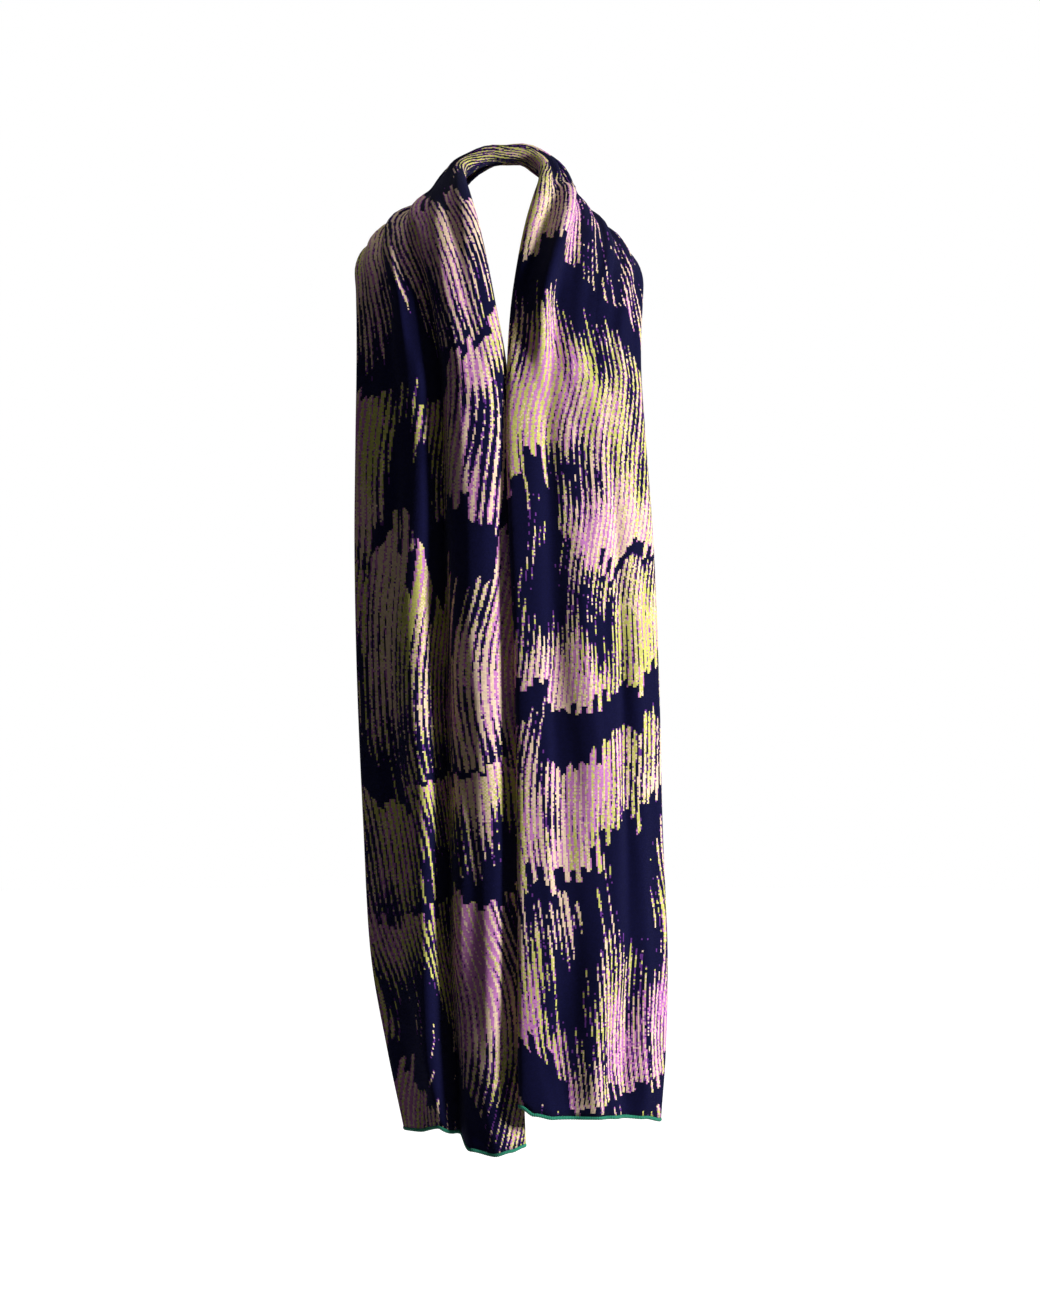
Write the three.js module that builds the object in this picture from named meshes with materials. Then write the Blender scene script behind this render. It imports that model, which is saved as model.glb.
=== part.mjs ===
// A fine-gauge jacquard knit scarf, worn round the neck with two long falls in front.
// Millimetres, +Z up. The front faces -Y. The origin is where the nape band rests on the neck.
import * as THREE from "three";

// Driving sizes
const WALL = 1.8; // thickness of the knit
const STRETCH_GAP = 0.3; // clearance between two stretches of the cloth
const EDGING_GAP = 0.6; // clearance between the cloth and its edging
const EDGING_HEIGHT = 4; // green edging on the short ends
const EDGING_THICKNESS = 3;
const GATHER_COUNT = 5; // pleats across the nape band
const FULL_GATHER = 5; // pleat half height at which the pleat walls stand upright
const UPRIGHT = 0.8; // how far they do, as a share of fully upright
const PLEAT_UNEVENNESS = 0.1; // uneven spacing of the pleats, as a share of one pleat
const UNEVEN_TURNS = 9; // radians of that unevenness across the band
const VALLEY_HALF_WIDTH = 11; // the deep fold of the left fall
const ROLL_SKEW = 2.5; // exponent that moves the outer roll's crest towards that fold
const CREST_ROUNDING = 5; // radius at the top of the right fall's long ridge
const CREST_REACH = 26; // how far that ridge fades out to each side
const COLLAR_REACH = 0.075; // half width of the collar fold, as a share of the width
const TURN_ROUNDING = 0.8; // exponent of the round turns at both long folds
const WAVE_COUNT = 2.3; // slow waves across a fall
const WAVE_STATIONS = 3.3; // stations in which those waves drift to and fro once
const WAVE_DRIFT = 0.25; // how far they drift, as a share of one wave

// Mesh steps
const TURN_STEPS = 5; // across each layer that is turned back
const FRONT_STEPS = 34; // across the front layer
const LAST_STEP = 2 * TURN_STEPS + FRONT_STEPS;
const NAPE_ROWS = 16;
const FALL_ROWS = 24;
const TURN_SPACING = 0.8; // closer mesh lines towards the turned edges
const FOLD_FOCUS = 0.3; // closer mesh lines towards the main fold
const EDGING_SIDES = 6;
const STATION_STEP = 0.05; // difference steps for directions
const SURFACE_STEP = 0.1;
const MESH_LINE_STEP = 0.5;

// Stations run along the scarf: -15 is the left hem, 0 the middle of the nape, 15 the right hem.
const LEFT_HEM = -15;
const RIGHT_HEM = 15;
const NAPE_END = 4; // the nape stretch ends at this station on each side
const HEM_START = 11; // the hem's own line fades in from this station on

// The two long folds of the cloth at each station: inner beside the neck, outer at the shoulder.
const FOLD_COLUMNS = ["station", "innerX", "innerY", "innerZ", "outerX", "outerY", "outerZ"];
const FOLD_ROWS = [
  [-15, 22, -108, -1095, -113, -70, -1095],
  [-14, 19, -108, -1005, -132, -70, -1005],
  [-13, 18, -107, -900, -150, -70, -900],
  [-12, 16, -106, -760, -158, -70, -760],
  [-11, 14, -106, -600, -165, -70, -600],
  [-10, 10, -106, -450, -168, -70, -450],
  [-9, 6, -105, -325, -167, -69, -325],
  [-8, 1, -102, -245, -166, -66, -255],
  [-7, -11, -100, -178, -166, -57, -200],
  [-6, -22, -96, -122, -167, -41, -160],
  [-5, -32, -84, -78, -168, -16, -126],
  [-4, -41, -64, -46, -153, 8, -104],
  [-3, -47, -40, -23, -103, 24, -85],
  [-2, -45, -16, -8, -63, 34, -38],
  [-1, -24, -2, 1, -28, 43, -4],
  [0, 0, 0, 2, 0, 45, 3],
  [1, 24, -2, 2, 28, 43, -1],
  [2, 39, -16, -8, 65, 34, -34],
  [3, 40, -35, -25, 94, 24, -84],
  [4, 33, -53, -48, 137, 6, -112],
  [5, 24, -70, -80, 153, -18, -138],
  [6, 15, -84, -124, 153, -41, -172],
  [7, 7, -96, -180, 151, -54, -208],
  [8, 3, -108, -245, 151, -60, -258],
  [9, 2, -119, -325, 155, -64, -325],
  [10, 6, -129, -450, 164, -66, -450],
  [11, 12, -132, -600, 170, -66, -600],
  [12, 14, -134, -760, 174, -66, -760],
  [13, 15, -136, -900, 180, -65, -900],
  [14, 15, -138, -1005, 178, -65, -1005],
  [15, 16, -138, -1078, 173, -65, -1078],
];

// How the cloth drapes between its folds. split is the place of the main fold, as a share of the width:
// the valley on the left fall, the ridge on the right one. collar is the height of the fold beside the neck.
const DRAPE_COLUMNS = [
  "station", "loft", "back", "split", "roll", "outerRoll", "valley", "ridge",
  "collarAt", "collar", "gather", "wave", "turnIn", "turnOut",
];
const DRAPE_ROWS = [
  [-15, 14, 12, 0.53, 16, 15, 16, 0, 0.2, 0, 0, 4, 46, 50],
  [-14, 14, 14, 0.5, 20, 19, 20, 0, 0.2, 0, 0, 4, 50, 56],
  [-12, 15, 15, 0.46, 24, 20, 21, 0, 0.2, 0, 0, 3, 55, 72],
  [-9, 15, 14, 0.44, 25, 16, 20, 0, 0.2, -3, 0.3, 2, 50, 70],
  [-7, 18, 12, 0.46, 14, 10, 16, 0, 0.19, -6, 1.6, 1, 40, 55],
  [-4, 17, 10, 0.5, 2, 2, 3, 0, 0.17, -4, 4, 0, 24, 36],
  [-2, 12, 9, 0.5, 0, 0, 0, 0, 0.17, -1, 5, 0, 16, 20],
  [0, 10, 6, 0.5, 0, 0, 0, 0, 0.3, 0, 5, 0, 14, 16],
  [2, 12, 9, 0.5, 0, 0, 0, 0, 0.45, 1, 5, 0, 16, 20],
  [4, 16, 10, 0.52, 0, 0, 0, 2, 0.25, 12, 3, 0, 24, 36],
  [7, 18, 10, 0.6, 0, 2, 0, 5, 0.18, 20, 0.8, 1, 36, 60],
  [9, 18, 11, 0.65, 0, 2, 3, 11, 0.25, -7, 0, 2, 48, 76],
  [12, 18, 12, 0.62, 0, 0, 4, 13, 0.24, -3, 0, 3, 58, 84],
  [14, 17, 12, 0.58, 0, 2, 3, 7, 0.24, 0, 0, 4, 60, 84],
  [15, 16, 12, 0.56, 0, 2, 2, 4, 0.24, 0, 0, 5, 60, 84],
];

// The line of each hem against its station's height, from the inner fold to the outer one.
const HEM_COLUMNS = ["across", "left", "right"];
const HEM_ROWS = [
  [0, -14, 16],
  [0.08, -18, 7],
  [0.2, -22, 3],
  [0.4, -17, 2],
  [0.56, 0, 2],
  [0.66, 7, 1],
  [0.85, 1, -2],
  [1, 1, -7],
];
const TURNED_HEM_RAISE = 9; // the turned layers end this much higher

const named = (columns, rows) =>
  rows.map((row) => Object.fromEntries(columns.map((name, i) => [name, row[i]])));
const folds = named(FOLD_COLUMNS, FOLD_ROWS);
const drapes = named(DRAPE_COLUMNS, DRAPE_ROWS);
const hems = named(HEM_COLUMNS, HEM_ROWS);

// The fold lines at any station: a Catmull-Rom curve through the rows.
function foldsAt(station) {
  const last = folds.length - 1;
  const place = THREE.MathUtils.clamp(station - LEFT_HEM, 0, last);
  const i = Math.min(Math.floor(place), last - 1);
  const t = place - i;
  const value = (name) => {
    const [b, c] = [folds[i][name], folds[i + 1][name]];
    const a = i > 0 ? folds[i - 1][name] : 2 * b - c;
    const d = i + 2 <= last ? folds[i + 2][name] : 2 * c - b;
    const bend = (2 * a - 5 * b + 4 * c - d) * t + (3 * (b - c) + d - a) * t * t;
    return b + 0.5 * t * (c - a + bend);
  };
  return {
    inner: new THREE.Vector3(value("innerX"), value("innerY"), value("innerZ")),
    outer: new THREE.Vector3(value("outerX"), value("outerY"), value("outerZ")),
  };
}

// A row of a table at any place: smooth steps from one row to the next.
function rowAt(rows, key, place) {
  const next = Math.max(1, rows.findIndex((row) => row[key] >= place));
  const [a, b] = [rows[next - 1], rows[next]];
  const t = THREE.MathUtils.smoothstep(place, a[key], b[key]);
  return Object.fromEntries(Object.keys(a).map((name) => [name, a[name] + (b[name] - a[name]) * t]));
}

// The frame of a section: its inner fold, the direction across and the direction out of the cloth.
function frameAt(station) {
  const { inner, outer } = foldsAt(station);
  const before = foldsAt(Math.max(station - STATION_STEP, LEFT_HEM));
  const after = foldsAt(Math.min(station + STATION_STEP, RIGHT_HEM));
  const along = after.inner.add(after.outer).sub(before.inner).sub(before.outer);
  const across = outer.clone().sub(inner);
  const width = across.length();
  across.normalize();
  const out = along.cross(across).normalize();
  return { inner, across, out, width };
}

// The front layer's height over the line between the two folds, and its sideways shift.
function frontLayer(turn, width, drape, station) {
  const even = (1 - Math.cos(turn)) / 2;
  const share = even + 4 * (drape.split - 0.5) * even * (1 - even);
  const inside = Math.sin(Math.PI * share);
  let height = drape.loft * Math.sin(turn) ** TURN_ROUNDING;
  if (share < drape.split) height += drape.roll * Math.sin((Math.PI * share) / drape.split);
  else height += drape.outerRoll * Math.sin(Math.PI * ((1 - share) / (1 - drape.split)) ** ROLL_SKEW);
  const fromSplit = (share - drape.split) * width;
  height -= drape.valley * Math.exp(-((fromSplit / VALLEY_HALF_WIDTH) ** 2));
  const crest = Math.hypot(fromSplit, CREST_ROUNDING) - CREST_ROUNDING;
  height += drape.ridge * Math.exp(-crest / CREST_REACH);
  height += drape.collar * Math.exp(-(((share - drape.collarAt) / COLLAR_REACH) ** 2));
  const wave = WAVE_COUNT * share + WAVE_DRIFT * Math.sin((2 * Math.PI * station) / WAVE_STATIONS);
  height += drape.wave * inside * Math.sin(2 * Math.PI * wave);
  const pleat = 2 * Math.PI * (GATHER_COUNT * share + PLEAT_UNEVENNESS * Math.sin(UNEVEN_TURNS * share));
  const fade = Math.sqrt(Math.max(inside, 0));
  height += drape.gather * fade * Math.sin(pleat);
  const upright = (UPRIGHT * drape.gather) / FULL_GATHER;
  const shift = (-fade * upright * Math.sin(2 * pleat)) / (4 * Math.PI * GATHER_COUNT);
  return { share: share + shift, height };
}

// One point of the cloth's middle surface. step counts the mesh lines from the inner edge to the outer edge.
function clothPoint(step, station) {
  const { inner, across, out, width } = frameAt(station);
  const drape = rowAt(drapes, "station", station);
  const turnAt = (length) => Math.acos(1 - (2 * length) / width);
  const turned = Math.max(0, 1 - step / TURN_STEPS, (step - TURN_STEPS - FRONT_STEPS) / TURN_STEPS);
  let share;
  let height;
  if (turned > 0) {
    const turnedIn = step < TURN_STEPS;
    const turn = turnAt(turnedIn ? drape.turnIn : drape.turnOut) * turned ** TURN_SPACING;
    share = turnedIn ? (1 - Math.cos(turn)) / 2 : (1 + Math.cos(turn)) / 2;
    height = -drape.back * Math.sin(turn) ** TURN_ROUNDING;
  } else {
    const even = (step - TURN_STEPS) / FRONT_STEPS;
    const turn = Math.PI * even + FOLD_FOCUS * Math.sin(2 * Math.PI * even);
    ({ share, height } = frontLayer(turn, width, drape, station));
  }
  const point = inner.clone().addScaledVector(across, share * width).addScaledVector(out, height);
  const hemPull = THREE.MathUtils.smoothstep(Math.abs(station), HEM_START, RIGHT_HEM);
  const hem = rowAt(hems, "across", THREE.MathUtils.clamp(share, 0, 1));
  const drop = station < 0 ? hem.left : hem.right;
  point.z += hemPull * (drop + TURNED_HEM_RAISE * turned);
  return point;
}

// The direction from the inner edge to the outer one at a point of the cloth.
function acrossCloth(step, station) {
  const before = clothPoint(Math.max(step - MESH_LINE_STEP, 0), station);
  const after = clothPoint(Math.min(step + MESH_LINE_STEP, LAST_STEP), station);
  return after.sub(before).normalize();
}

// The cloth's outward direction at a point.
function clothNormal(step, station) {
  const along = clothPoint(step, Math.min(station + SURFACE_STEP, RIGHT_HEM)).sub(
    clothPoint(step, Math.max(station - SURFACE_STEP, LEFT_HEM)),
  );
  return along.cross(acrossCloth(step, station)).normalize();
}

// A closed solid from rings of points: each ring closes on itself, and the two end rings are capped by pairs.
function solidFromRings(rings) {
  const size = rings[0].length;
  const positions = rings.flat().flatMap((p) => [p.x, p.y, p.z]);
  const index = [];
  const quad = (a, b, c, d) => index.push(a, c, b, a, d, c);
  for (let r = 0; r + 1 < rings.length; r += 1) {
    for (let k = 0; k < size; k += 1) {
      const next = (k + 1) % size;
      quad(r * size + k, r * size + next, (r + 1) * size + next, (r + 1) * size + k);
    }
  }
  const top = (rings.length - 1) * size;
  for (let k = 0; k < size / 2 - 1; k += 1) {
    quad(k, size - 1 - k, size - 2 - k, k + 1);
    quad(top + k, top + k + 1, top + size - 2 - k, top + size - 1 - k);
  }
  const geometry = new THREE.BufferGeometry();
  geometry.setAttribute("position", new THREE.Float32BufferAttribute(positions, 3));
  geometry.setIndex(index);
  return geometry;
}

// A stretch of the cloth between two stations, as a wall.
function clothStretch(from, to, rows) {
  const rings = [];
  for (let r = 0; r <= rows; r += 1) {
    const station = from + ((to - from) * r) / rows;
    const face = [];
    const reverse = [];
    for (let step = 0; step <= LAST_STEP; step += 1) {
      const point = clothPoint(step, station);
      const normal = clothNormal(step, station);
      face.push(point.clone().addScaledVector(normal, WALL / 2));
      reverse.unshift(point.clone().addScaledVector(normal, -WALL / 2));
    }
    rings.push([...face, ...reverse]);
  }
  return solidFromRings(rings);
}

// The edging under a hem: a flat oval that follows the hem's line, clear of the wall.
function hemEdging(station) {
  const side = Math.sign(station);
  const rings = [];
  for (let step = 0; step <= LAST_STEP; step += 1) {
    const point = clothPoint(step, station);
    const normal = clothNormal(step, station);
    const down = point.clone().sub(clothPoint(step, station - side * STATION_STEP));
    down.projectOnPlane(acrossCloth(step, station)).normalize();
    const middle = point.addScaledVector(down, EDGING_GAP + EDGING_HEIGHT / 2);
    const ring = [];
    for (let k = 0; k < EDGING_SIDES; k += 1) {
      const angle = (side * 2 * Math.PI * (k + 0.5)) / EDGING_SIDES;
      ring.push(
        middle
          .clone()
          .addScaledVector(down, (EDGING_HEIGHT / 2) * Math.cos(angle))
          .addScaledVector(normal, (EDGING_THICKNESS / 2) * Math.sin(angle)),
      );
    }
    rings.push(ring);
  }
  return solidFromRings(rings);
}

const knit = new THREE.MeshStandardMaterial({ color: 0x4a3f5c, roughness: 0.92, metalness: 0 });
const edging = new THREE.MeshStandardMaterial({ color: 0x14966e, roughness: 0.85, metalness: 0 });

function node(name, geometry, material) {
  const mesh = new THREE.Mesh(geometry, material);
  mesh.name = name;
  return mesh;
}

// Half the gap between two stretches, in stations.
function halfGapAt(station) {
  const ahead = foldsAt(station + STATION_STEP).inner;
  const perStation = ahead.distanceTo(foldsAt(station).inner) / STATION_STEP;
  return STRETCH_GAP / 2 / perStation;
}

const leftStart = -NAPE_END - halfGapAt(-NAPE_END);
const napeStart = -NAPE_END + halfGapAt(-NAPE_END);
const napeEnd = NAPE_END - halfGapAt(NAPE_END);
const rightStart = NAPE_END + halfGapAt(NAPE_END);
const scarf = new THREE.Group();
scarf.add(
  node("left_fall", clothStretch(LEFT_HEM, leftStart, FALL_ROWS), knit),
  node("nape_stretch", clothStretch(napeStart, napeEnd, NAPE_ROWS), knit),
  node("right_fall", clothStretch(rightStart, RIGHT_HEM, FALL_ROWS), knit),
  node("left_hem_edging", hemEdging(LEFT_HEM), edging),
  node("right_hem_edging", hemEdging(RIGHT_HEM), edging),
);

export default scarf;
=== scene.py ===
import math

import bpy
import numpy as np
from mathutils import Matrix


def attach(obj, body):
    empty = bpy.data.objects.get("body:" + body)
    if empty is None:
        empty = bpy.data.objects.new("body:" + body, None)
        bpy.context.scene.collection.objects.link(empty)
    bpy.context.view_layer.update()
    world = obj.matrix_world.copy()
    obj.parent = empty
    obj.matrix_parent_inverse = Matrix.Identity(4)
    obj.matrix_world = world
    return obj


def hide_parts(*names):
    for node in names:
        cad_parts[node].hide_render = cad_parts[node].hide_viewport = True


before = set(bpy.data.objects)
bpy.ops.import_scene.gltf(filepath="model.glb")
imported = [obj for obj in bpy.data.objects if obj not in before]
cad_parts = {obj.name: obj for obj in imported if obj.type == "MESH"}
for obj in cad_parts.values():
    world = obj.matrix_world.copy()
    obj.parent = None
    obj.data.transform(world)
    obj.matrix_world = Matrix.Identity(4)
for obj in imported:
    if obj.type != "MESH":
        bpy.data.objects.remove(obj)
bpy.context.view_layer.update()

bl_info = {
    "name": "Worn Knit Scarf",
    "version": (1, 0, 0),
    "blender": (4, 5, 0),
    "location": "3D View > Sidebar > Scarf",
    "description": "A jacquard knit scarf worn round the neck, with two long falls",
    "category": "Add Mesh",
}

MM = 0.001

# Stations run along the scarf: -15 is the left hem, 0 the middle of the nape, 15 the right hem.
LAST_STATION = 15
HEM_START = 11

# The cloth's two long folds at each station, in millimetres: inner beside the neck, outer at the shoulder.
FOLD_COLUMNS = ("station", "inner_x", "inner_y", "inner_z", "outer_x", "outer_y", "outer_z")
FOLD_ROWS = (
    (-15, 22, -108, -1095, -113, -70, -1095),
    (-14, 19, -108, -1005, -132, -70, -1005),
    (-13, 18, -107, -900, -150, -70, -900),
    (-12, 16, -106, -760, -158, -70, -760),
    (-11, 14, -106, -600, -165, -70, -600),
    (-10, 10, -106, -450, -168, -70, -450),
    (-9, 6, -105, -325, -167, -69, -325),
    (-8, 1, -102, -245, -166, -66, -255),
    (-7, -11, -100, -178, -166, -57, -200),
    (-6, -22, -96, -122, -167, -41, -160),
    (-5, -32, -84, -78, -168, -16, -126),
    (-4, -41, -64, -46, -153, 8, -104),
    (-3, -47, -40, -23, -103, 24, -85),
    (-2, -45, -16, -8, -63, 34, -38),
    (-1, -24, -2, 1, -28, 43, -4),
    (0, 0, 0, 2, 0, 45, 3),
    (1, 24, -2, 2, 28, 43, -1),
    (2, 39, -16, -8, 65, 34, -34),
    (3, 40, -35, -25, 94, 24, -84),
    (4, 33, -53, -48, 137, 6, -112),
    (5, 24, -70, -80, 153, -18, -138),
    (6, 15, -84, -124, 153, -41, -172),
    (7, 7, -96, -180, 151, -54, -208),
    (8, 3, -108, -245, 151, -60, -258),
    (9, 2, -119, -325, 155, -64, -325),
    (10, 6, -129, -450, 164, -66, -450),
    (11, 12, -132, -600, 170, -66, -600),
    (12, 14, -134, -760, 174, -66, -760),
    (13, 15, -136, -900, 180, -65, -900),
    (14, 15, -138, -1005, 178, -65, -1005),
    (15, 16, -138, -1078, 173, -65, -1078),
)

# How the cloth drapes between its folds, in millimetres and shares of the width.
DRAPE_COLUMNS = (
    "station", "loft", "back", "split", "roll", "outer_roll", "valley", "ridge",
    "collar_at", "collar", "gather", "wave", "turn_in", "turn_out",
)
DRAPE_ROWS = (
    (-15, 14, 12, 0.53, 16, 15, 16, 0, 0.2, 0, 0, 4, 46, 50),
    (-14, 14, 14, 0.5, 20, 19, 20, 0, 0.2, 0, 0, 4, 50, 56),
    (-12, 15, 15, 0.46, 24, 20, 21, 0, 0.2, 0, 0, 3, 55, 72),
    (-9, 15, 14, 0.44, 25, 16, 20, 0, 0.2, -3, 0.3, 2, 50, 70),
    (-7, 18, 12, 0.46, 14, 10, 16, 0, 0.19, -6, 1.6, 1, 40, 55),
    (-4, 17, 10, 0.5, 2, 2, 3, 0, 0.17, -4, 4, 0, 24, 36),
    (-2, 12, 9, 0.5, 0, 0, 0, 0, 0.17, -1, 5, 0, 16, 20),
    (0, 10, 6, 0.5, 0, 0, 0, 0, 0.3, 0, 5, 0, 14, 16),
    (2, 12, 9, 0.5, 0, 0, 0, 0, 0.45, 1, 5, 0, 16, 20),
    (4, 16, 10, 0.52, 0, 0, 0, 2, 0.25, 12, 3, 0, 24, 36),
    (7, 18, 10, 0.6, 0, 2, 0, 5, 0.18, 20, 0.8, 1, 36, 60),
    (9, 18, 11, 0.65, 0, 2, 3, 11, 0.25, -7, 0, 2, 48, 76),
    (12, 18, 12, 0.62, 0, 0, 4, 13, 0.24, -3, 0, 3, 58, 84),
    (14, 17, 12, 0.58, 0, 2, 3, 7, 0.24, 0, 0, 4, 60, 84),
    (15, 16, 12, 0.56, 0, 2, 2, 4, 0.24, 0, 0, 5, 60, 84),
)

# The line of each hem against its station's height, from the inner fold to the outer one.
HEM_COLUMNS = ("across", "left", "right")
HEM_ROWS = (
    (0, -14, 16),
    (0.08, -18, 7),
    (0.2, -22, 3),
    (0.4, -17, 2),
    (0.56, 0, 2),
    (0.66, 7, 1),
    (0.85, 1, -2),
    (1, 1, -7),
)

# How much higher than the front the free edges of the turned-back layers end, in millimetres.
TURNED_HEM_RAISE = 9

# The pleats at the nape: how many lie across, the height at which they stand upright, and their unevenness.
GATHER_COUNT = 5
FULL_GATHER = 5
UPRIGHT = 0.8
PLEAT_UNEVENNESS = 0.1
UNEVEN_TURNS = 9

# The valley and the ridge in millimetres, and the collar as a share of the width.
VALLEY_HALF_WIDTH = 11
CREST_ROUNDING = 5
CREST_REACH = 26
COLLAR_REACH = 0.075

# How far the outer roll leans towards the split, and how round the cloth turns at its folds.
ROLL_SKEW = 2.5
TURN_ROUNDING = 0.8

# The slow wave of hanging cloth: waves across, stations from one sway to the next, and the sway in waves.
WAVE_COUNT = 2.3
WAVE_STATIONS = 3.3
WAVE_DRIFT = 0.25

# Soft creases that run along the falls: where they start and end, their place across at both ends,
# their height in millimetres (below zero for a trough) and their half width as a share of the fall.
CREASE_COLUMNS = ("start", "end", "share_start", "share_end", "height", "reach")
CREASE_ROWS = (
    (-16.2, -8.8, 0.28, 0.27, -5.5, 0.07),
    (-15.8, -9.4, 0.12, 0.11, 4.0, 0.05),
    (-13.2, -8.0, 0.76, 0.72, -3.2, 0.05),
    (-12.5, -7.2, 0.88, 0.80, 3.2, 0.04),
    (-8.4, -3.6, 0.62, 0.60, 3.4, 0.035),
    (-7.2, -3.2, 0.80, 0.76, -3.2, 0.04),
    (3.2, 8.8, 0.10, 0.08, -5.0, 0.06),
    (3.2, 7.6, 0.72, 0.66, -3.4, 0.035),
    (3.8, 9.4, 0.86, 0.80, 3.0, 0.04),
    (6.0, 21.0, 0.43, 0.43, 7.5, 0.10),
    (6.2, 10.8, 0.31, 0.28, -3.2, 0.05),
    (7.4, 16.6, 0.69, 0.69, -7.5, 0.05),
    (8.2, 19.0, 0.79, 0.87, 5.0, 0.055),
    (8.6, 14.2, 0.16, 0.20, 2.4, 0.05),
    (10.0, 20.0, 0.455, 0.455, 3.0, 0.08),
)

# How a crease fades towards its ends, and how far and how often it sways across.
CREASE_TAPER = 1.3
CREASE_SWAY = 0.012
CREASE_SWAY_TURNS = 5
CREASE_SWAY_START = 9

# Slight unevenness of hanging knit: radians across the width and along a station, heights in millimetres.
SWELL_ACROSS = 23
SWELL_ALONG = 1.7
BEAT_ACROSS = 4
BEAT_ALONG = 2.9
SWELL_HEIGHT = 0.7
RIPPLE_ACROSS = 61
RIPPLE_ALONG = 3.1
RIPPLE_SWAY = 2
RIPPLE_SWAY_ALONG = 1.9
RIPPLE_HEIGHT = 0.28

# What the turned-back layers take of the creases and of the unevenness, and how far past the fold it grows.
TURNED_CREASES = -0.7
TURNED_UNEVENNESS = 1.6
TURNED_START = 0.3
TURNED_REACH = 0.6

# The cloth's wall and the width of its cut, in millimetres.
WALL = 1.8
CUT_WIDTH = 380

# The cloth's grid: steps over a turned-back layer and over the front, how they gather at folds, and rows.
TURN_STEPS = 22
FRONT_STEPS = 116
ACROSS_STEPS = 2 * TURN_STEPS + FRONT_STEPS
TURN_SPACING = 0.8
FOLD_FOCUS = 0.3
ROWS = 300

# Steps for measuring slopes and lengths along the scarf.
SLOPE_STEP = 0.05
LENGTH_SAMPLES = 3001

# The edging: points along and round it, half sizes and drop below the hem in millimetres, swell and ends.
EDGING_STEPS = 1401
EDGING_SIDES = 12
EDGING_HALF_HEIGHT = 2.1
EDGING_HALF_DEPTH = 1.5
EDGING_DROP = 1.9
EDGING_SWELL = 0.12
EDGING_END = 0.01

# Places for baking: strips on each side of the cloth, the margin round them, and the rim's strip in margins.
BAKE_STRIPS = 4
BAKE_SIDE = 0.5
BAKE_MARGIN = 0.006
RIM_TOP = 0.8
RIM_LOW = 1.6

# The knit's slow random fields: cells for a stitch or streak across and for a course along, where each field
# starts, its detail, the value that counts as none, and its weight. The first four move streaks and bands.
FIELD_COLUMNS = ("cells_across", "cells_along", "start_across", "start_along", "detail", "middle", "weight")
FIELDS = {
    "lean": (0.0025, 0.006, 0, 0, 0.5, 0.5, 1),
    "sway": (0.012, 0.012, 9, 4, 0, 0.5, 9),
    "comb": (0.31, 0.01, 0, 0, 1, 0.5, 26),
    "drift": (0.009, 0.006, 3, 0, 0.5, 0.5, 170),
    "thickness": (0.02, 0.011, 11, 0, 1, 0, 0.95),
    "patches": (0.022, 0.01, 31, 5, 1, 0.5, 2.1),
    "streaks": (0.7, 0.03, 50, 0, 1, 0.5, 1.1),
    "warm_streaks": (0.45, 0.008, 40, 7, 1, 0, 0.4),
    "warm_places": (0.013, 0.009, 17, 0, 1, 0, 0.6),
    "pink_streaks": (0.6, 0.014, 70, 0, 1, 0, 0.3),
    "pink_places": (0.02, 0.012, 3, 60, 1, 0, 0.4),
}

# The navy bands: how ragged in courses, how much thinner than their field, how soft and how strong.
COMB_COURSES = 22
BAND_THINNING = 0.34
BAND_SOFTNESS = 0.03
BAND_WEIGHT = 1.2

# The navy between two bands: from where to where it eases, and how much shows at both ends.
EASING_START = 0.05
EASING_END = 0.95
NAVY_AFTER_BAND = 0.84
NAVY_BEFORE_BAND = 0.28

# The pale streaks: how pale, how much navy on their flanks, how ragged, and how far violet reaches in.
STREAK_PALENESS = 0.97
FLANK_NAVY = 0.7
RAGGEDNESS = 0.22
RAGGED_COURSES = 2
RAGGED_START = 5
VIOLET_REACH = 0.2

# The pale yarns: how far they mix where two meet, from where peach and orchid take over, and the pink flanks.
MIXING = 0.14
PEACH_FROM = 0.465
ORCHID_FROM = 0.57
PINK_FLANKS = 0.4

# Each stitch: the slant of its legs, the dip between them, and how its shade differs from the next one's.
STITCH_SLANT = 0.55
SPINE_DEPTH = 0.8
DARKEST_SHADE = 0.86
SHADE_RANGE = 0.24
SHADE_START = 7

# The edging's flecks: how many per metre, and their share of its colour beside the painted highlight on its
# stitch crests and the painted shade between them.
FLECKS_PER_METRE = 900
FLECK_SHARE = 0.5


def named(columns, rows):
    """A table as one array for each named column."""
    return dict(zip(columns, np.array(rows, dtype=float).T))


FOLDS = named(FOLD_COLUMNS, FOLD_ROWS)
DRAPES = named(DRAPE_COLUMNS, DRAPE_ROWS)
HEMS = named(HEM_COLUMNS, HEM_ROWS)


def smoothstep(low, high, x):
    t = np.clip((x - low) / (high - low), 0, 1)
    return t * t * (3 - 2 * t)


def fold_lines(station):
    """The inner and outer fold at each station, along Catmull-Rom curves."""
    last = len(FOLD_ROWS) - 1
    place = np.clip(station + LAST_STATION, 0, last)
    i = np.minimum(place.astype(int), last - 1)
    t = place - i

    def value(name):
        column = FOLDS[name]
        padded = np.concatenate(([2 * column[0] - column[1]], column, [2 * column[-1] - column[-2]]))
        a, b, c, d = (padded[i + k] for k in range(4))
        return b + 0.5 * t * (c - a + (2 * a - 5 * b + 4 * c - d) * t + (3 * (b - c) + d - a) * t * t)

    return tuple(
        np.stack([value(f"{side}_{axis}") for axis in "xyz"], axis=-1) for side in ("inner", "outer")
    )


def row_at(table, key, place):
    """Every column of a table at each place, in smooth steps from one row to the next."""
    keys = table[key]
    upper = np.clip(np.searchsorted(keys, place), 1, len(keys) - 1)
    t = smoothstep(keys[upper - 1], keys[upper], place)
    return {name: column[upper - 1] * (1 - t) + column[upper] * t for name, column in table.items()}


def unit(vectors):
    return vectors / np.linalg.norm(vectors, axis=-1, keepdims=True)


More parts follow.
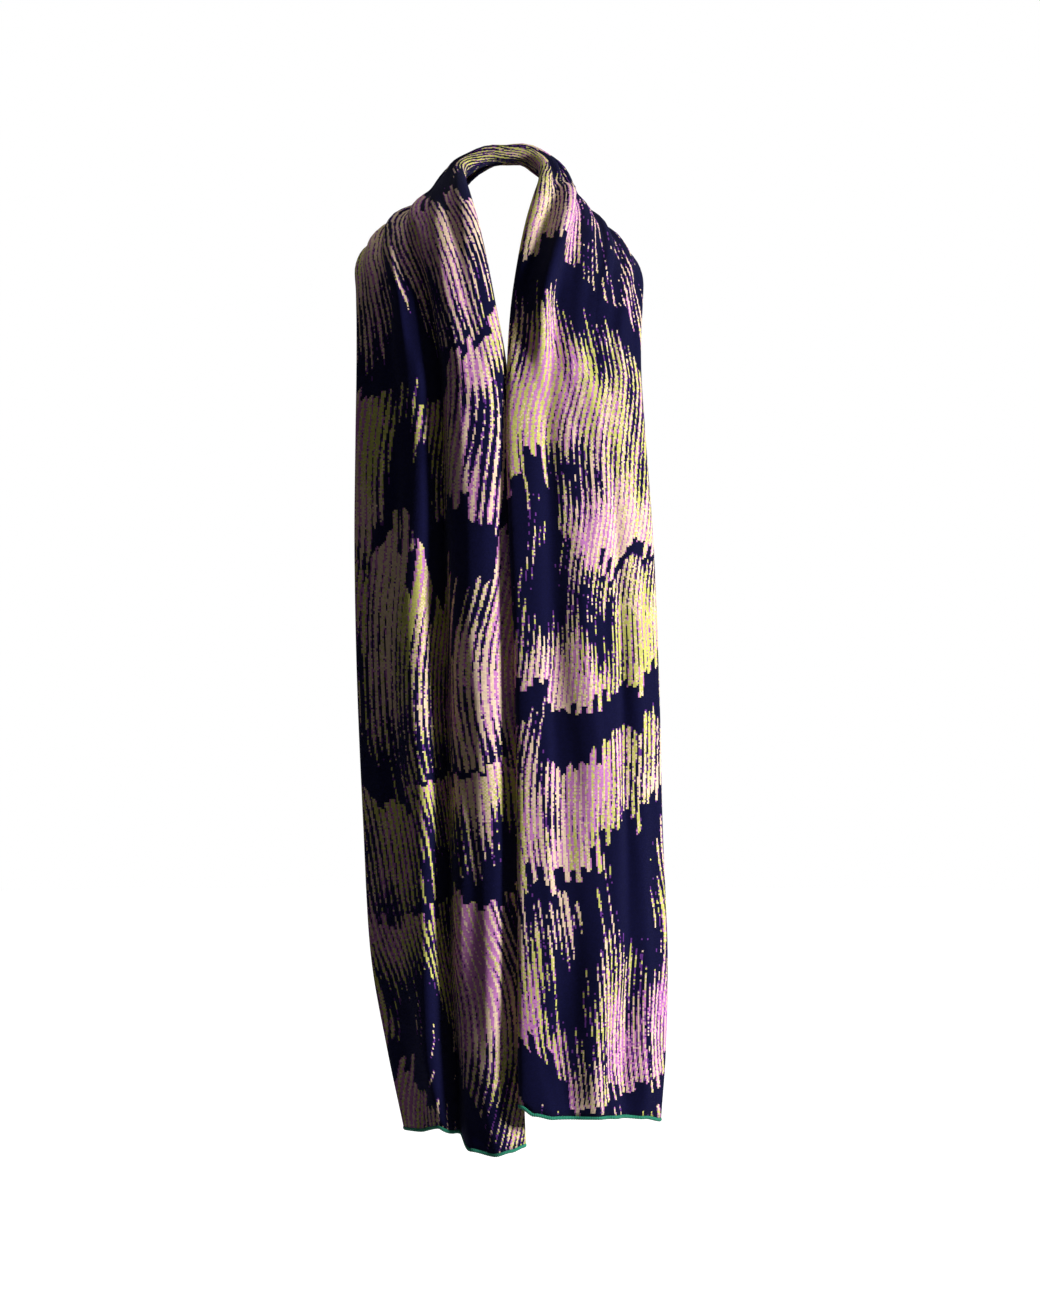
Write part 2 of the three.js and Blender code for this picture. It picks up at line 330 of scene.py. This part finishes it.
def section_frames(station):
    """The inner fold, the direction across, the direction out of the cloth and the width."""
    inner, outer = fold_lines(station)
    ahead = sum(fold_lines(np.minimum(station + SLOPE_STEP, LAST_STATION)))
    behind = sum(fold_lines(np.maximum(station - SLOPE_STEP, -LAST_STATION)))
    width = np.linalg.norm(outer - inner, axis=-1)
    across = unit(outer - inner)
    return inner, across, unit(np.cross(ahead - behind, across)), width


def creases(share, station):
    """The height that the soft creases add at each share of the width."""
    height = np.zeros_like(share)
    for row in CREASE_ROWS:
        crease = dict(zip(CREASE_COLUMNS, row))
        progress = (station - crease["start"]) / (crease["end"] - crease["start"])
        present = np.sin(np.pi * np.clip(progress, 0, 1)) ** CREASE_TAPER
        middle = crease["share_start"] + (crease["share_end"] - crease["share_start"]) * progress
        sway = np.sin(CREASE_SWAY_TURNS * progress + CREASE_SWAY_START * crease["share_start"])
        middle = middle + CREASE_SWAY * sway
        height += crease["height"] * present * np.exp(-(((share - middle) / crease["reach"]) ** 2))
    return height


def unevenness(share, station):
    """Slight unevenness of hanging knit, under a millimetre high."""
    swell = np.sin(SWELL_ACROSS * share + SWELL_ALONG * station)
    beat = np.sin(BEAT_ALONG * station + BEAT_ACROSS * share)
    sway = RIPPLE_SWAY * np.sin(RIPPLE_SWAY_ALONG * station)
    ripple = np.sin(RIPPLE_ACROSS * share - RIPPLE_ALONG * station + sway)
    return SWELL_HEIGHT * swell * beat + RIPPLE_HEIGHT * ripple


def front_layer(turn, width, drape, station):
    """The front layer's share of the width and its height over the line between the folds."""
    even = (1 - np.cos(turn)) / 2
    split = drape["split"]
    share = even + 4 * (split - 0.5) * even * (1 - even)
    inside = np.maximum(np.sin(np.pi * share), 0)
    fade = np.sqrt(inside)
    height = drape["loft"] * np.maximum(np.sin(turn), 0) ** TURN_ROUNDING
    inner_roll = drape["roll"] * np.sin(np.pi * share / split)
    outer_roll = drape["outer_roll"] * np.sin(np.pi * ((1 - share) / (1 - split)) ** ROLL_SKEW)
    height = height + np.where(share < split, inner_roll, outer_roll)
    from_split = (share - split) * width
    height -= drape["valley"] * np.exp(-((from_split / VALLEY_HALF_WIDTH) ** 2))
    crest = np.hypot(from_split, CREST_ROUNDING) - CREST_ROUNDING
    height += drape["ridge"] * np.exp(-crest / CREST_REACH)
    height += drape["collar"] * np.exp(-(((share - drape["collar_at"]) / COLLAR_REACH) ** 2))
    wave = WAVE_COUNT * share + WAVE_DRIFT * np.sin(2 * np.pi * station / WAVE_STATIONS)
    height += drape["wave"] * inside * np.sin(2 * np.pi * wave)
    height += fade * (creases(share, station) + unevenness(share, station))
    pleat = 2 * np.pi * (GATHER_COUNT * share + PLEAT_UNEVENNESS * np.sin(UNEVEN_TURNS * share))
    height += drape["gather"] * fade * np.sin(pleat)
    upright = UPRIGHT * drape["gather"] / FULL_GATHER
    share = share - fade * upright * np.sin(2 * pleat) / (4 * np.pi * GATHER_COUNT)
    return share, height


def turned_layer(turned, inward, width, drape, station):
    """A turned-back layer's share of the width and its height, from 0 at its fold to 1 at its free edge."""
    length = np.where(inward, drape["turn_in"], drape["turn_out"])
    turn = np.arccos(1 - 2 * length / width) * turned ** TURN_SPACING
    share = np.where(inward, 1 - np.cos(turn), 1 + np.cos(turn)) / 2
    height = -drape["back"] * np.sin(turn) ** TURN_ROUNDING
    soft = TURNED_CREASES * creases(share, station)
    soft = soft + TURNED_UNEVENNESS * unevenness(share + TURNED_START, station)
    return share, height + smoothstep(0, TURNED_REACH, turned) * soft


def cloth_points(step, station):
    """Points of the cloth's middle surface. step runs from 0 at the inner edge to 1 at the outer edge."""
    step, station = np.broadcast_arrays(step, station)
    inner, across, out, width = section_frames(station)
    drape = row_at(DRAPES, "station", station)
    line = step * ACROSS_STEPS
    turned = np.maximum(0, np.maximum(1 - line / TURN_STEPS, (line - TURN_STEPS - FRONT_STEPS) / TURN_STEPS))
    back_share, back_height = turned_layer(turned, line < TURN_STEPS, width, drape, station)
    even = np.clip((line - TURN_STEPS) / FRONT_STEPS, 0, 1)
    turn = np.pi * even + FOLD_FOCUS * np.sin(2 * np.pi * even)
    front_share, front_height = front_layer(turn, width, drape, station)
    share = np.where(turned > 0, back_share, front_share)
    height = np.where(turned > 0, back_height, front_height)
    points = inner + across * (share * width)[..., None] + out * height[..., None]
    hem = row_at(HEMS, "across", np.clip(share, 0, 1))
    drop = np.where(station < 0, hem["left"], hem["right"]) + TURNED_HEM_RAISE * turned
    points[..., 2] += smoothstep(HEM_START, LAST_STATION, np.abs(station)) * drop
    return points


def even_stations(count):
    """Stations at equal lengths along the middle of the cloth."""
    fine = np.linspace(-LAST_STATION, LAST_STATION, LENGTH_SAMPLES)
    inner, outer = fold_lines(fine)
    length = np.concatenate(([0], np.cumsum(np.linalg.norm(np.diff((inner + outer) / 2, axis=0), axis=1))))
    return np.interp(np.linspace(0, length[-1], count), length, fine)


def grid_normals(points):
    """Unit normals of a grid of points, out of the cloth's face side."""
    along = np.gradient(points, axis=0)
    across = np.gradient(points, axis=1)
    return unit(np.cross(along, across))


def cloth_grid():
    """The cloth's points, normals and cloth coordinates in metres: across and along the knit."""
    stations = even_stations(ROWS + 1)
    steps = np.linspace(0, 1, ACROSS_STEPS + 1)
    points = cloth_points(steps[None, :], stations[:, None])
    across = np.linalg.norm(np.diff(points, axis=1), axis=-1)
    across = np.concatenate((np.zeros((len(stations), 1)), np.cumsum(across, axis=1)), axis=1)
    across = across / across[:, -1:] * CUT_WIDTH
    along = np.linalg.norm(np.diff(points, axis=0), axis=-1).mean(axis=1)
    along = np.concatenate(([0], np.cumsum(along)))[:, None] + np.zeros_like(across)
    return points * MM, grid_normals(points), np.stack((across, along), axis=-1) * MM


def mesh_object(name, points, faces, layers, material):
    """A smooth mesh object. layers maps a UV map's name to one coordinate pair for each face corner."""
    mesh = bpy.data.meshes.new(name)
    mesh.from_pydata(points.tolist(), [], faces.tolist())
    for layer_name, corners in layers.items():
        layer = mesh.uv_layers.new(name=layer_name)
        layer.uv.foreach_set("vector", np.ascontiguousarray(corners, dtype=np.float32).ravel())
    mesh.shade_smooth()
    mesh.materials.append(material)
    mesh.validate()
    obj = bpy.data.objects.new(name, mesh)
    bpy.context.scene.collection.objects.link(obj)
    return obj


def new_material(name):
    """A new material with its node tree and its shader."""
    material = bpy.data.materials.new(name)
    material.use_nodes = True
    return material, material.node_tree, material.node_tree.nodes["Principled BSDF"]


def set_inputs(node, values):
    """Set a node's uniform inputs by name."""
    for name, value in values.items():
        node.inputs[name].default_value = value


class Wire:
    """A node socket or a number that formulas can be written with."""

    def __init__(self, tree, value):
        self.tree = tree
        self.value = value

    def math(self, operation, *others):
        node = self.tree.nodes.new("ShaderNodeMath")
        node.operation = operation
        for socket, item in zip(node.inputs, (self, *others)):
            value = item.value if isinstance(item, Wire) else item
            if isinstance(value, (int, float)):
                socket.default_value = value
            else:
                self.tree.links.new(value, socket)
        return Wire(self.tree, node.outputs[0])

    def __add__(self, other):
        return self.math("ADD", other)

    def __sub__(self, other):
        return self.math("SUBTRACT", other)

    def __mul__(self, other):
        return self.math("MULTIPLY", other)

    def __truediv__(self, other):
        return self.math("DIVIDE", other)

    def floor(self):
        return self.math("FLOOR")

    def fract(self):
        return self.math("FRACT")

    def sin(self):
        return self.math("SINE")

    def abs(self):
        return self.math("ABSOLUTE")

    def above(self, other):
        return self.math("GREATER_THAN", other)

    def ramp(self, low, high, start=0.0, end=1.0):
        node = self.tree.nodes.new("ShaderNodeMapRange")
        node.interpolation_type = "SMOOTHSTEP"
        self.tree.links.new(self.value, node.inputs["Value"])
        set_inputs(node, {"From Min": low, "From Max": high, "To Min": start, "To Max": end})
        return Wire(self.tree, node.outputs["Result"])


def random_node(tree, kind, x, y):
    """A random texture of the plane at a place. Its second coordinate is 0 when y is left out."""
    place = tree.nodes.new("ShaderNodeCombineXYZ")
    node = tree.nodes.new(kind)
    node.noise_dimensions = "2D"
    tree.links.new(x.value, place.inputs[0])
    if y is not None:
        tree.links.new(y.value, place.inputs[1])
    tree.links.new(place.outputs[0], node.inputs["Vector"])
    return node


def noise(tree, x, y, detail=1.0):
    """Smooth noise from 0 to 1 at a place given in its own cells."""
    node = random_node(tree, "ShaderNodeTexNoise", x, y)
    set_inputs(node, {"Scale": 1.0, "Detail": detail})
    return Wire(tree, node.outputs["Fac"])


def speckle(tree, x, y=None):
    """A random value from 0 to 1 for each whole cell."""
    return Wire(tree, random_node(tree, "ShaderNodeTexWhiteNoise", x, y).outputs["Value"])


def field(tree, name, x, y):
    """One of the knit's slow random fields, at a place counted in stitches or streaks."""
    spec = dict(zip(FIELD_COLUMNS, FIELDS[name]))
    across = x * spec["cells_across"] + spec["start_across"]
    along = y * spec["cells_along"] + spec["start_along"]
    return (noise(tree, across, along, spec["detail"]) - spec["middle"]) * spec["weight"]


def pick(tree, chance, low, high):
    """One of two colours, or of two colour sockets."""
    node = tree.nodes.new("ShaderNodeMix")
    node.data_type = "RGBA"
    tree.links.new(chance.value, node.inputs["Factor"])
    for name, colour in (("A", low), ("B", high)):
        socket = next(s for s in node.inputs if s.name == name and s.type == "RGBA")
        if isinstance(colour, bpy.types.NodeSocket):
            tree.links.new(colour, socket)
        else:
            socket.default_value = (*colour[:3], 1)
    return next(s for s in node.outputs if s.type == "RGBA")


def cloth_place(tree):
    """The cloth's own coordinates in metres."""
    cloth = tree.nodes.new("ShaderNodeUVMap")
    cloth.uv_map = "knit"
    parts = tree.nodes.new("ShaderNodeSeparateXYZ")
    tree.links.new(cloth.outputs[0], parts.inputs[0])
    return Wire(tree, parts.outputs[0]), Wire(tree, parts.outputs[1])


def streak_phase(tree, look, wale, course):
    """Streaks counted across the cloth: they lean and fan out slowly along it."""
    lean = field(tree, "lean", wale, course) * look.lean_wales
    return (wale + lean + field(tree, "sway", wale, course)) / look.streak_wales


def navy_share(tree, look, wale, course, thread):
    """How much navy shows: all of it in ragged bands, and between them less and less up to the next band."""
    comb = (speckle(tree, thread) - 0.5) * COMB_COURSES + field(tree, "comb", thread, course)
    drift = field(tree, "drift", wale, course)
    progress = ((course + comb + drift) / look.band_courses).fract()
    thickness = field(tree, "thickness", wale, course) - BAND_THINNING
    band = (thickness - progress).ramp(-BAND_SOFTNESS, BAND_SOFTNESS)
    easing = progress.ramp(EASING_START, EASING_END, NAVY_AFTER_BAND, NAVY_BEFORE_BAND)
    return band * BAND_WEIGHT + easing + field(tree, "patches", wale, course)


def pale_yarn(tree, look, wale, course, thread, flank):
    """Peach and lime streaks with orchid flanks, their stitches mixed where two yarns meet."""
    checks = (((wale + course) / 2).fract() - 0.25) * MIXING
    mixed = checks + (speckle(tree, course, wale) - 0.5) * MIXING
    warm_streaks = field(tree, "warm_streaks", thread, course)
    warmth = warm_streaks + field(tree, "warm_places", wale, course) + mixed
    colour = pick(tree, warmth.above(PEACH_FROM), look.lime, look.peach)
    pink_streaks = flank * PINK_FLANKS + field(tree, "pink_streaks", thread, course)
    pinkness = pink_streaks + field(tree, "pink_places", wale, course) + mixed
    return pick(tree, pinkness.above(ORCHID_FROM), colour, look.orchid)


def stitch_relief(x, y):
    """The height of each V-shaped stitch, from 0 between stitches to 1 on its legs."""
    across = (x.fract() - 0.5).abs() * 2
    leg = ((y + across * STITCH_SLANT).fract() - 0.5).abs() * 2
    spine = (across - 0.5).abs() * 2
    return (leg * leg * -1 + 1) * (spine * spine * -SPINE_DEPTH + 1)


def stitch_colour(tree, look, wale, course):
    """The yarn at each stitch: navy, a pale streak, or violet where the two meet."""
    phase = streak_phase(tree, look, wale, course)
    thread = phase.floor()
    flank = (phase.fract() - 0.5).abs() * 2
    tuft = (course / RAGGED_COURSES).floor() + RAGGED_START
    ragged = (speckle(tree, wale, tuft) - 0.5) * RAGGEDNESS
    streak = field(tree, "streaks", thread, course) + ragged + STREAK_PALENESS - flank * FLANK_NAVY
    surplus = streak - navy_share(tree, look, wale, course, thread)
    pale = surplus.above(0.0)
    outline = pale * (surplus * -1 + speckle(tree, wale, course) * VIOLET_REACH).above(0.0)
    colour = pick(tree, outline, pale_yarn(tree, look, wale, course, thread, flank), look.violet)
    return pick(tree, pale, look.navy, colour)


def knit_material(look):
    """Jacquard of streaks and ragged bands: each colour change lies on a stitch, and stitches are raised."""
    material, tree, shader = new_material("jacquard_knit")
    across, along = cloth_place(tree)
    x, y = across / look.wale, along / look.course
    wale, course = x.floor(), y.floor()
    yarn = tree.nodes.new("ShaderNodeHueSaturation")
    shade = speckle(tree, wale + SHADE_START, course) * SHADE_RANGE + DARKEST_SHADE
    tree.links.new(shade.value, yarn.inputs["Value"])
    tree.links.new(stitch_colour(tree, look, wale, course), yarn.inputs["Color"])
    tree.links.new(yarn.outputs[0], shader.inputs["Base Color"])
    bump = tree.nodes.new("ShaderNodeBump")
    set_inputs(bump, {"Strength": 0.6, "Distance": look.relief})
    tree.links.new(stitch_relief(x, y).value, bump.inputs["Height"])
    tree.links.new(bump.outputs[0], shader.inputs["Normal"])
    set_inputs(shader, {
        "Roughness": 0.9,
        "Specular IOR Level": 0.06,
        "Sheen Weight": 0.02,
        "Sheen Roughness": 0.5,
    })
    return material


def edging_material(look):
    """Emerald yarn with real flecks, a painted highlight on the crests of its stitches and painted shade
    between them.
    """
    material, tree, shader = new_material("edging_yarn")
    along, around = cloth_place(tree)
    # Painted light: each stitch's crest is painted paler and the dip between stitches darker. This is mixed
    # with the yarn's own flecks.
    stitch = (along * (2 * math.pi / look.wale)).sin() * 0.5 + 0.5
    fleck = noise(tree, along * FLECKS_PER_METRE, around * FLECKS_PER_METRE)
    crest = stitch * (1 - FLECK_SHARE) + fleck * FLECK_SHARE
    tree.links.new(pick(tree, crest, look.edging_fleck_and_painted_shade, look.edging), shader.inputs["Base Color"])
    set_inputs(shader, {"Roughness": 0.85, "Sheen Weight": 0.1})
    return material


class ScarfLook(bpy.types.PropertyGroup):
    """The knit's stitch sizes and yarn colours."""

    wale: bpy.props.FloatProperty(
        name="Wale", description="Width of one stitch", default=0.0019, unit="LENGTH")
    course: bpy.props.FloatProperty(
        name="Course", description="Height of one stitch", default=0.0019, unit="LENGTH")
    relief: bpy.props.FloatProperty(
        name="Relief", description="Height of one stitch over the cloth", default=0.0005, unit="LENGTH")
    band_courses: bpy.props.FloatProperty(
        name="Band courses", description="Courses from one ragged navy band to the next", default=112.0)
    streak_wales: bpy.props.FloatProperty(
        name="Streak wales", description="Wales from one streak to the next", default=4.0)
    lean_wales: bpy.props.FloatProperty(
        name="Lean wales", description="How far the streaks sway sideways", default=80.0)
    navy: bpy.props.FloatVectorProperty(
        name="Navy", description="Ground yarn", subtype="COLOR", size=3, default=(0.0032, 0.0032, 0.027))
    violet: bpy.props.FloatVectorProperty(
        name="Violet", description="Stitches at streak edges", subtype="COLOR", size=3,
        default=(0.13, 0.035, 0.24))
    orchid: bpy.props.FloatVectorProperty(
        name="Orchid", description="Pink streak yarn", subtype="COLOR", size=3, default=(0.58, 0.21, 0.53))
    peach: bpy.props.FloatVectorProperty(
        name="Peach", description="Pale streak yarn", subtype="COLOR", size=3, default=(0.87, 0.65, 0.47))
    lime: bpy.props.FloatVectorProperty(
        name="Lime", description="Yellow-green streak yarn", subtype="COLOR", size=3,
        default=(0.63, 0.61, 0.16))
    edging: bpy.props.FloatVectorProperty(
        name="Edging", description="Hem edging yarn", subtype="COLOR", size=3, default=(0.006, 0.28, 0.16))
    # Painted shade between the edging's stitches, which is also the darker yarn of its flecks.
    edging_fleck_and_painted_shade: bpy.props.FloatVectorProperty(
        name="Edging shade", description="Between the edging's stitches", subtype="COLOR", size=3,
        default=(0.002, 0.11, 0.065))


# Where the two lights stand, how wide they are and what they shine at, in metres.
KEY_PLACE = (3.9, -1.85, 0.2)
KEY_SIZE = 0.9
FILL_PLACE = (0.6, -4.2, 0.2)
FILL_SIZE = 1.6
LIGHT_AIM = (0, -0.1, -0.5)

# The light from above: how far it leans from the back and how wide it is, in degrees.
OVERHEAD_TILT = 25
OVERHEAD_SOFTNESS = 30

# The middle of the picture and the front of the falls in metres, and the camera's sensor in millimetres.
VIEW_CENTRE = (0.0165, -0.561)
FALL_FRONT = -0.145
SENSOR_HEIGHT = 36.0

# The floor, and the white surroundings as the camera sees them.
FLOOR_RADIUS = 9
FLOOR_SIDES = 96
FLOOR_COLOUR = (0.9, 0.9, 0.9, 1)
WHITE = (1, 1, 1, 1)
SEEN_STRENGTH = 1.0


class StageSettings(bpy.types.PropertyGroup):
    """The floor, the camera and the lights."""

    distance: bpy.props.FloatProperty(
        name="Camera distance", description="From the camera to the front of the falls", default=4.0,
        unit="LENGTH")
    frame_height: bpy.props.FloatProperty(
        name="Frame height", description="Height of the picture at the front of the falls", default=1.43,
        unit="LENGTH")
    floor: bpy.props.FloatProperty(
        name="Floor", description="Height of the floor", default=-1.42, unit="LENGTH")
    key: bpy.props.FloatProperty(
        name="Key light", description="Power of the light from the right", default=320.0, unit="POWER")
    fill: bpy.props.FloatProperty(
        name="Fill light", description="Power of the light beside the camera", default=3.0, unit="POWER")
    overhead: bpy.props.FloatProperty(
        name="Overhead light", description="Strength of the soft light from above and behind", default=1.5)
    ambient: bpy.props.FloatProperty(
        name="Ambient light", description="Strength of the light from all round", default=0.05)
    floor_glow: bpy.props.FloatProperty(
        name="Floor glow", description="Keeps the pale floor near white", default=0.62)


def shell_faces(rows, columns):
    """Quads of a shell between two equal grids: its face side, its back and the rim that joins them."""
    count = rows * columns
    corner = (np.arange(rows - 1)[:, None] * columns + np.arange(columns - 1)[None, :]).ravel()
    front = np.stack((corner, corner + columns, corner + columns + 1, corner + 1), axis=1)
    back = front[:, ::-1] + count
    start = np.concatenate((
        np.arange(columns),
        np.arange(1, rows) * columns + columns - 1,
        (rows - 1) * columns + np.arange(columns - 2, -1, -1),
        np.arange(rows - 2, 0, -1) * columns,
    ))
    end = np.roll(start, -1)
    return front, back, np.stack((start, end, end + count, start + count), axis=1)


def strip_layout(share, side):
    """Places for baking one side of the cloth: strips that lie over one another, side 0 left and 1 right."""
    across, along = share[..., 0], share[..., 1] * BAKE_STRIPS
    strip = np.minimum(np.floor(along.mean(axis=1)), BAKE_STRIPS - 1)[:, None]
    u = side * BAKE_SIDE + BAKE_MARGIN + (along - strip) * (BAKE_SIDE - 2 * BAKE_MARGIN)
    v = strip / BAKE_STRIPS + BAKE_MARGIN + across * (1 / BAKE_STRIPS - 3 * BAKE_MARGIN)
    return np.stack((u, v), axis=-1)


def rim_layout(count):
    """Places for baking the rim: one narrow strip above the others."""
    run = BAKE_MARGIN + np.linspace(0, 1 - 2 * BAKE_MARGIN, count + 1)
    start, end = run[:-1], run[1:]
    top = np.full(count, 1 - BAKE_MARGIN * RIM_TOP)
    low = np.full(count, 1 - BAKE_MARGIN * RIM_LOW)
    corners = ((start, top), (end, top), (end, low), (start, low))
    return np.stack([np.stack(corner, axis=-1) for corner in corners], axis=1)


class SCARF_OT_cloth(bpy.types.Operator):
    """Build the knitted cloth as one thin shell over its three stretches"""

    bl_idname = "scarf.cloth"
    bl_label = "Knitted cloth"

    def execute(self, context):
        points, normals, cloth = cloth_grid()
        half_wall = normals * WALL / 2 * MM
        sides = np.concatenate(((points + half_wall).reshape(-1, 3), (points - half_wall).reshape(-1, 3)))
        front, back, rim = shell_faces(*points.shape[:2])
        faces = np.concatenate((front, back, rim))
        place = np.concatenate((cloth.reshape(-1, 2),) * 2)
        share = place / place.max(axis=0)
        bakes = (strip_layout(share[front], 0), strip_layout(share[back], 1), rim_layout(len(rim)))
        layers = {"knit": place[faces], "OFBake": np.concatenate(bakes)}
        obj = mesh_object("scarf_cloth", sides, faces, layers, knit_material(context.scene.scarf_look))
        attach(obj, "root")
        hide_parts("left_fall", "nape_stretch", "right_fall")
        return {"FINISHED"}


class SCARF_OT_edging(bpy.types.Operator):
    """Build the green edging on both short ends"""

    bl_idname = "scarf.edging"
    bl_label = "Hem edging"

    def execute(self, context):
        look = context.scene.scarf_look
        material = edging_material(look)
        for name, station in (("left_hem_edging", -LAST_STATION), ("right_hem_edging", LAST_STATION)):
            obj = self.build(name + "_yarn", station, look, material)
            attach(obj, "root")
            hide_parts(name)
        return {"FINISHED"}

    def build(self, name, station, look, material):
        above = station - math.copysign(SLOPE_STEP, station)
        steps = np.linspace(0, 1, EDGING_STEPS)[None, :]
        hem, inside = cloth_points(steps, np.array([[station], [above]]))
        line = unit(np.gradient(hem, axis=0))
        down = hem - inside
        down = unit(down - line * (down * line).sum(axis=-1, keepdims=True))
        out = np.cross(down, line)
        length = np.concatenate(([0], np.cumsum(np.linalg.norm(np.diff(hem, axis=0), axis=1))))
        swell = 1 + EDGING_SWELL * np.cos(2 * np.pi * length * MM / look.wale)
        swell[[0, -1]] = EDGING_END
        angle = 2 * np.pi * np.arange(EDGING_SIDES) / EDGING_SIDES
        section = (
            down[:, None, :] * np.cos(angle)[None, :, None] * EDGING_HALF_HEIGHT
            + out[:, None, :] * np.sin(angle)[None, :, None] * EDGING_HALF_DEPTH
        )
        ring = (hem + down * EDGING_DROP)[:, None, :] + section * swell[:, None, None]
        row, side = (part.ravel() for part in np.indices((EDGING_STEPS - 1, EDGING_SIDES)))
        row = np.stack((row, row, row + 1, row + 1), axis=1)
        side = np.stack((side, side + 1, side + 1, side), axis=1)
        faces = row * EDGING_SIDES + side % EDGING_SIDES
        layers = {"knit": np.stack((length[row], side * 1.0), axis=-1) * MM}
        return mesh_object(name, ring.reshape(-1, 3) * MM, faces, layers, material)


class SCARF_OT_stage(bpy.types.Operator):
    """Set the floor, the pale surroundings, the lights and the camera"""

    bl_idname = "scarf.stage"
    bl_label = "Stage"

    def execute(self, context):
        settings = context.scene.scarf_stage
        self.camera(context, settings)
        self.floor(settings)
        self.surroundings(context, settings)
        self.light("key", KEY_PLACE, KEY_SIZE, settings.key)
        self.light("fill", FILL_PLACE, FILL_SIZE, settings.fill)
        self.overhead(settings)
        return {"FINISHED"}

    def camera(self, context, settings):
        data = bpy.data.cameras.new("camera")
        data.sensor_fit = "VERTICAL"
        data.sensor_height = SENSOR_HEIGHT
        data.lens = SENSOR_HEIGHT * settings.distance / settings.frame_height
        camera = bpy.data.objects.new("camera", data)
        across, height = VIEW_CENTRE
        camera.location = (across, FALL_FRONT - settings.distance, height)
        camera.rotation_euler = (math.pi / 2, 0, 0)
        context.scene.collection.objects.link(camera)
        context.scene.camera = camera

    def floor(self, settings):
        bpy.ops.mesh.primitive_circle_add(
            vertices=FLOOR_SIDES, radius=FLOOR_RADIUS, fill_type="NGON", location=(0, 0, settings.floor))
        floor = bpy.context.object
        floor.name = "floor"
        material, _, shader = new_material("pale_floor")
        set_inputs(shader, {
            "Base Color": FLOOR_COLOUR,
            "Roughness": 0.9,
            "Emission Color": WHITE,
            "Emission Strength": settings.floor_glow,
        })
        floor.data.materials.append(material)
        floor.visible_diffuse = False

    def surroundings(self, context, settings):
        world = bpy.data.worlds.new("surroundings")
        context.scene.world = world
        world.use_nodes = True
        tree = world.node_tree
        tree.nodes.clear()
        output = tree.nodes.new("ShaderNodeOutputWorld")
        mix = tree.nodes.new("ShaderNodeMixShader")
        path = tree.nodes.new("ShaderNodeLightPath")
        tree.links.new(path.outputs["Is Camera Ray"], mix.inputs[0])
        for socket, strength in zip(mix.inputs[1:], (settings.ambient, SEEN_STRENGTH)):
            background = tree.nodes.new("ShaderNodeBackground")
            set_inputs(background, {"Color": WHITE, "Strength": strength})
            tree.links.new(background.outputs[0], socket)
        tree.links.new(mix.outputs[0], output.inputs[0])
        context.scene.view_settings.view_transform = "Standard"

    def overhead(self, settings):
        data = bpy.data.lights.new("overhead", "SUN")
        data.energy = settings.overhead
        data.angle = math.radians(OVERHEAD_SOFTNESS)
        sun = bpy.data.objects.new("overhead", data)
        sun.rotation_euler = (math.radians(-OVERHEAD_TILT), 0, 0)
        bpy.context.scene.collection.objects.link(sun)

    def light(self, name, place, size, power):
        data = bpy.data.lights.new(name, "AREA")
        data.shape = "DISK"
        data.size = size
        data.energy = power
        light = bpy.data.objects.new(name, data)
        light.location = place
        aim = bpy.data.objects.new(name + "_aim", None)
        aim.location = LIGHT_AIM
        bpy.context.scene.collection.objects.link(light)
        bpy.context.scene.collection.objects.link(aim)
        track = light.constraints.new("TRACK_TO")
        track.target = aim
        track.track_axis = "TRACK_NEGATIVE_Z"
        track.up_axis = "UP_Y"


class SCARF_PT_panel(bpy.types.Panel):
    """The scarf's pieces and their settings"""

    bl_idname = "SCARF_PT_panel"
    bl_label = "Worn Knit Scarf"
    bl_space_type = "VIEW_3D"
    bl_region_type = "UI"
    bl_category = "Scarf"

    def draw(self, context):
        layout = self.layout
        for settings in (context.scene.scarf_look, context.scene.scarf_stage):
            box = layout.box()
            for name in settings.bl_rna.properties.keys():
                if name not in {"rna_type", "name"}:
                    box.prop(settings, name)
        for operator in OPERATORS:
            layout.operator(operator.bl_idname)


OPERATORS = (SCARF_OT_stage, SCARF_OT_cloth, SCARF_OT_edging)
CLASSES = (ScarfLook, StageSettings, *OPERATORS, SCARF_PT_panel)


def register():
    for cls in CLASSES:
        bpy.utils.register_class(cls)
    bpy.types.Scene.scarf_look = bpy.props.PointerProperty(type=ScarfLook)
    bpy.types.Scene.scarf_stage = bpy.props.PointerProperty(type=StageSettings)


def unregister():
    del bpy.types.Scene.scarf_stage
    del bpy.types.Scene.scarf_look
    for cls in reversed(CLASSES):
        bpy.utils.unregister_class(cls)


def main():
    register()
    bpy.ops.scarf.stage()
    bpy.ops.scarf.cloth()
    bpy.ops.scarf.edging()


if __name__ == "__main__":
    main()
